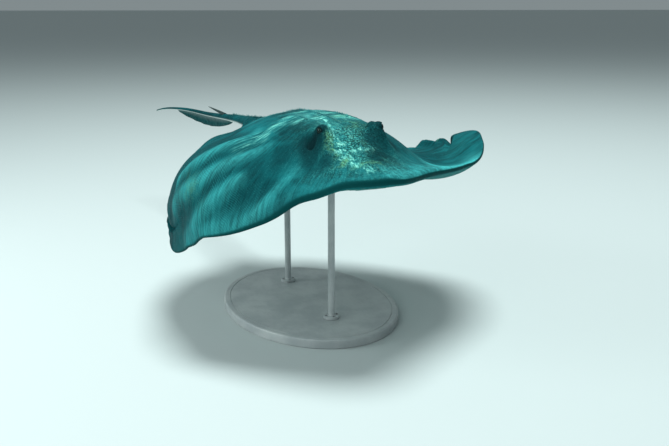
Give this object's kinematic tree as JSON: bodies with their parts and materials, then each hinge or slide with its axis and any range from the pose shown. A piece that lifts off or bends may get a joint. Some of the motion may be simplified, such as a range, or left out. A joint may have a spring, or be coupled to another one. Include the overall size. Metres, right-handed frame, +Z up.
{
  "type": "stingray",
  "caption": "Life-size stingray swimming with one wing curled down and one lifted, whip tail and spine, on a flat base with two rods.",
  "frame": {"origin": "centre of the underside of the stand's base plate", "axes": "+Z up, the head faces -Y, the ray's left side is toward +X"},
  "size_m": [0.8869, 2.0684, 0.5555],
  "materials": {
    "skin": "wet satin, slate blue-grey above, off-white below",
    "eye": "glossy, opaque dark",
    "sting": "satin",
    "stand": "satin paint"
  },
  "bodies": {
    "root": {"head": "skin", "trunk": "skin", "pectoral_fin_right": "skin", "pectoral_fin_left": "skin", "pelvic_fin_right": "skin", "pelvic_fin_left": "skin", "tail_base": "skin", "tail_middle": "skin", "tail_end": "skin", "tail_fold": "skin", "sting": "sting", "eye_right": "eye", "eye_left": "eye", "stand_base": "stand", "stand_rod_front": "stand", "stand_rod_rear": "stand"}
  },
  "joints": []
}
